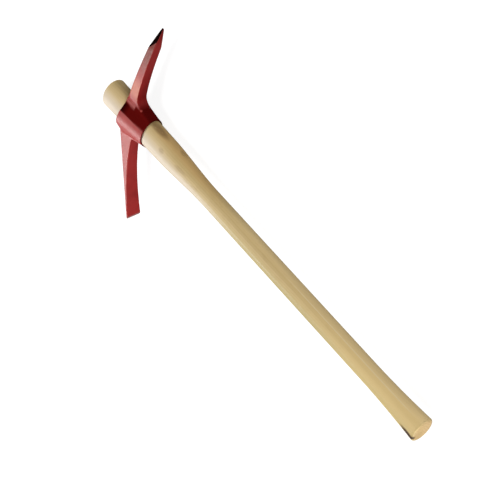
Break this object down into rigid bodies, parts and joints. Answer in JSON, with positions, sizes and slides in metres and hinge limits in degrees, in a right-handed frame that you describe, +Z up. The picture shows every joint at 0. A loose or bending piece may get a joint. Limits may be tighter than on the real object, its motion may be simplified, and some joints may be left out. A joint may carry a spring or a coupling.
{
  "type": "pick axe",
  "caption": "Pick axe with a red forged head, a pointed arm and a narrow chisel arm, on a straight oval wooden handle that flares to jam in the tapered eye.",
  "frame": {"origin": "on the floor, below the middle of the whole tool as it lies on its side", "axes": "+X along the handle towards its top end, -Y along the point arm and +Y along the chisel arm, +Z up through the flank of the collar"},
  "size_m": [0.914, 0.498, 0.0626],
  "materials": {
    "red_paint": "satin",
    "hardwood": "satin"
  },
  "bodies": {
    "handle": {"handle": "hardwood"},
    "head": {"pick_head": "red_paint"}
  },
  "joints": [
    {"name": "head_slide", "type": "slide", "parent": "handle", "child": "head", "axis": [-1, 0, 0], "range_m": [0, 0.88]}
  ]
}
